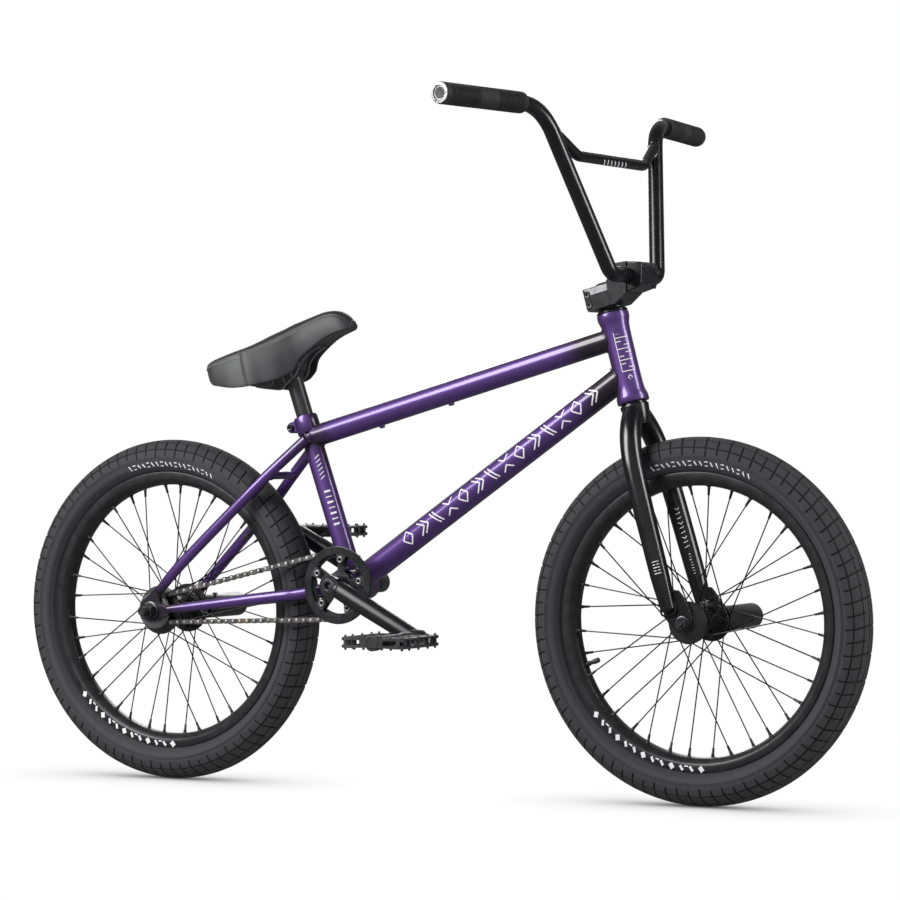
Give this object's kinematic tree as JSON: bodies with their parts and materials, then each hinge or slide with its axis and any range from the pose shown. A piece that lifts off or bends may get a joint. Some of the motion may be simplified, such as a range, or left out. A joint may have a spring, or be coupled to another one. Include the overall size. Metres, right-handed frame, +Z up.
{
  "type": "bmx bike",
  "caption": "Brakeless freestyle bmx bicycle with tall handlebar, welded tube frame, single-speed chain drive, spoked wheels, platform pedals and foot pegs on one side.",
  "frame": {"origin": "on the ground plane, midway between the wheel axles, in the bicycle's middle plane", "axes": "+X to the front of the bicycle, +Y to the rider's left, +Z up"},
  "size_m": [1.409, 0.793, 0.9908],
  "materials": {
    "frame_paint": "satin",
    "gloss_black": "satin",
    "satin_black": "satin",
    "tyre_rubber": "matte",
    "grip_rubber": "matte",
    "tube_rubber": "matte",
    "black_plastic": "matte",
    "saddle_cover": "satin",
    "steel": "brushed",
    "dark_steel": "satin"
  },
  "bodies": {
    "frame": {"frame": "frame_paint", "seat_clamp_bolt": "dark_steel", "headset_bearing_lower": "steel", "headset_bearing_upper": "steel", "bottom_bracket_bearing_right": "steel", "bottom_bracket_bearing_left": "steel", "chain": "dark_steel", "rear_axle": "steel", "rear_axle_nut_right": "dark_steel", "rear_axle_nut_left": "dark_steel", "rear_peg": "satin_black", "rear_hub_guard_outer": "black_plastic"},
    "seatpost": {"seatpost": "gloss_black"},
    "seat": {"seat_cushion": "saddle_cover", "seat_base": "black_plastic"},
    "fork": {"fork": "gloss_black", "headset_cover": "gloss_black", "headset_spacer": "steel", "stem_body": "satin_black", "stem_cap": "satin_black", "stem_pinch_bolt_lower": "dark_steel", "stem_pinch_bolt_upper": "dark_steel", "steerer_cap": "gloss_black", "front_axle": "steel", "front_axle_nut_right": "dark_steel", "front_axle_nut_left": "dark_steel", "front_peg": "satin_black", "front_hub_guard_right": "black_plastic", "front_hub_guard_left": "black_plastic"},
    "handlebar": {"handlebar": "gloss_black", "grip_right": "grip_rubber", "grip_left": "grip_rubber", "bar_end_right": "black_plastic", "bar_end_left": "black_plastic"},
    "front_wheel": {"front_tyre": "tyre_rubber", "front_rim": "satin_black", "front_inner_tube": "tube_rubber", "front_spokes": "satin_black", "front_hub": "satin_black", "front_hub_bearing_right": "steel", "front_hub_bearing_left": "steel"},
    "rear_wheel": {"rear_tyre": "tyre_rubber", "rear_rim": "satin_black", "rear_inner_tube": "tube_rubber", "rear_spokes": "satin_black", "rear_hub": "satin_black", "rear_hub_bearing_left": "steel", "rear_hub_guard_inner": "black_plastic", "rear_hub_guard_left": "black_plastic"},
    "driver": {"driver": "dark_steel"},
    "crankset": {"crank_spindle": "dark_steel", "crank_arm_right": "satin_black", "crank_arm_left": "satin_black", "chainring": "gloss_black", "chainring_guard": "gloss_black", "pedal_spindle_right": "steel", "pedal_spindle_left": "steel"},
    "pedal_right": {"pedal_right": "black_plastic"},
    "pedal_left": {"pedal_left": "black_plastic"}
  },
  "joints": [
    {"name": "steering", "type": "hinge", "parent": "frame", "child": "fork", "pos_m": [0.3437, 0, 0.5664], "axis": [-0.2527, 0, 0.9675], "continuous": true},
    {"name": "front_wheel_spin", "type": "hinge", "parent": "fork", "child": "front_wheel", "pos_m": [0.4455, 0, 0.259], "axis": [0, 1, 0], "continuous": true},
    {"name": "rear_wheel_spin", "type": "hinge", "parent": "frame", "child": "rear_wheel", "pos_m": [-0.4455, 0, 0.259], "axis": [0, 1, 0], "continuous": true},
    {"name": "crank_spin", "type": "hinge", "parent": "frame", "child": "crankset", "pos_m": [-0.1198, 0, 0.3025], "axis": [0, 1, 0], "continuous": true},
    {"name": "driver_spin", "type": "hinge", "parent": "frame", "child": "driver", "pos_m": [-0.4455, 0, 0.259], "axis": [0, 1, 0], "continuous": true},
    {"name": "pedal_right_spin", "type": "hinge", "parent": "crankset", "child": "pedal_right", "pos_m": [0.02786, -0.15, 0.22888], "axis": [0, 1, 0], "continuous": true},
    {"name": "pedal_left_spin", "type": "hinge", "parent": "crankset", "child": "pedal_left", "pos_m": [-0.26746, 0.15, 0.37612], "axis": [0, 1, 0], "continuous": true},
    {"name": "seatpost_height", "type": "slide", "parent": "frame", "child": "seatpost", "axis": [-0.3256, 0, 0.9455], "range_m": [-0.04, 0.04]},
    {"name": "seat_tilt", "type": "hinge", "parent": "seatpost", "child": "seat", "pos_m": [-0.22854, 0, 0.6183], "axis": [0, 1, 0], "range_deg": [-8, 8]},
    {"name": "bar_roll", "type": "hinge", "parent": "fork", "child": "handlebar", "pos_m": [0.34583, 0, 0.74618], "axis": [0, 1, 0], "range_deg": [-15, 15]}
  ],
  "couplings": [
    {"joint": "driver_spin", "follows": "crank_spin", "ratio": 2.7778}
  ]
}
